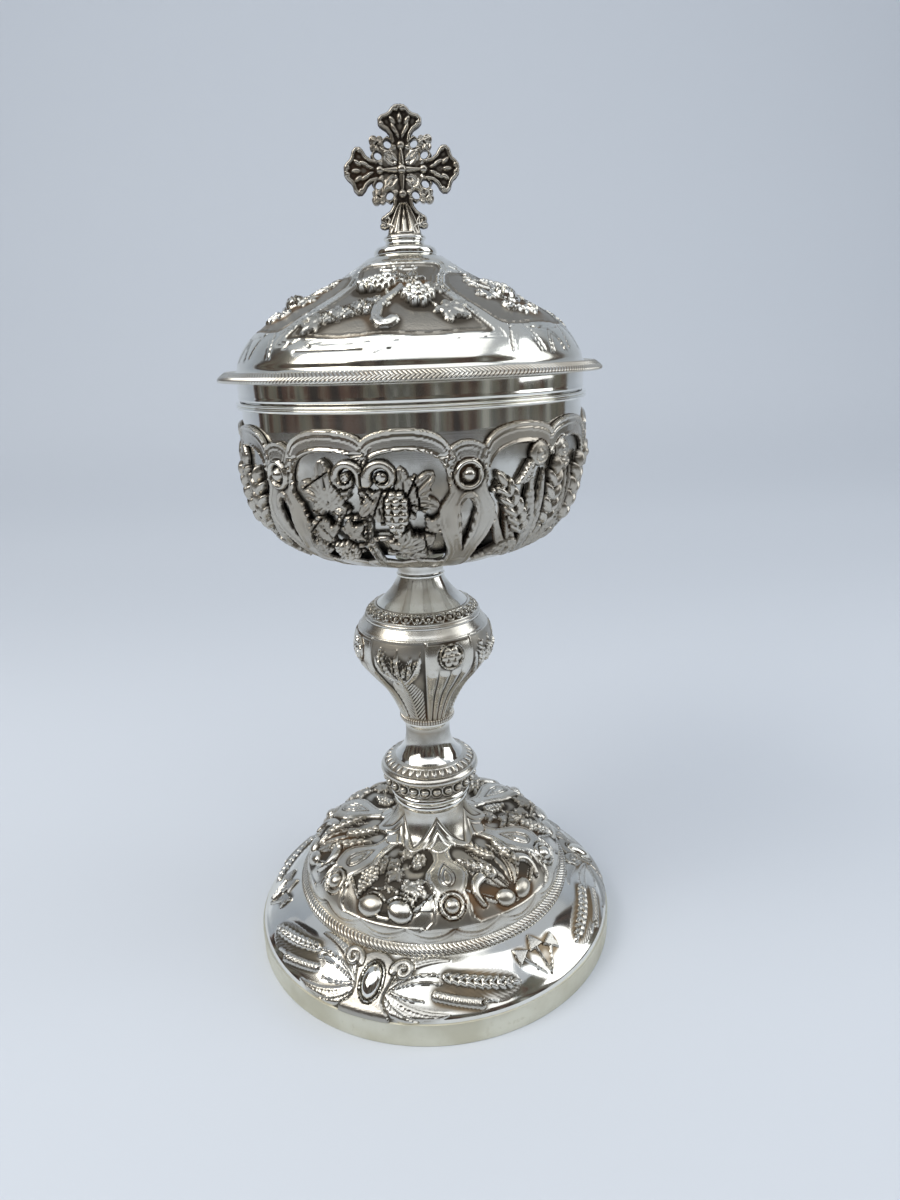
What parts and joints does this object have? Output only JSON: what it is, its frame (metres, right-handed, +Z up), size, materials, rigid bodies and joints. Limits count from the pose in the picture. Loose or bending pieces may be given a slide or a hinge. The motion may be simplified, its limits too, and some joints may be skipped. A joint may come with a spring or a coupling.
{
  "type": "ciborium",
  "caption": "Covered silver cup on a knopped stem and raised round foot, with a pierced calyx, bead and reeded rings, and an openwork cross on the domed lid.",
  "frame": {"origin": "on the stem's axis, in the plane the foot's rim rests on", "axes": "+Z up along the stem; -Y is the front, +X to the right of the front; the flat cross faces the front"},
  "size_m": [0.1396, 0.14, 0.2956],
  "materials": {
    "polished_silver": "polished, slightly yellowed",
    "chased_silver": "chased relief, bright on the high places and tarnished brown in the hollows",
    "satin_silver": "satin, finely scratched by cleaning",
    "cast_silver": "cast and filed, greyer than the sheet"
  },
  "bodies": {
    "stand": {"foot_rim_band": "satin_silver", "foot_flange": "polished_silver", "foot_reeded_ring": "chased_silver", "foot_dome": "chased_silver", "stem_collar": "polished_silver", "stem_bead_ring": "chased_silver", "stem_node": "chased_silver", "lower_neck": "polished_silver", "knop_foot_ring": "chased_silver", "knop_body": "chased_silver", "knop_band": "chased_silver", "knop_cap": "polished_silver", "upper_neck": "polished_silver", "openwork_calyx": "chased_silver", "cup_boss": "polished_silver", "cup_bowl": "polished_silver", "cup_seat_ring": "polished_silver", "tie_rod": "satin_silver", "tie_rod_washer": "satin_silver", "tie_rod_nut": "satin_silver"},
    "lid": {"lid_skirt": "polished_silver", "lid_dome": "chased_silver", "lid_border": "chased_silver", "finial_base": "polished_silver", "cross_finial": "cast_silver", "finial_nut": "satin_silver"}
  },
  "joints": [
    {"name": "lid_lift", "type": "slide", "parent": "stand", "child": "lid", "axis": [0, 0, 1], "range_m": [0, 0.1]}
  ]
}
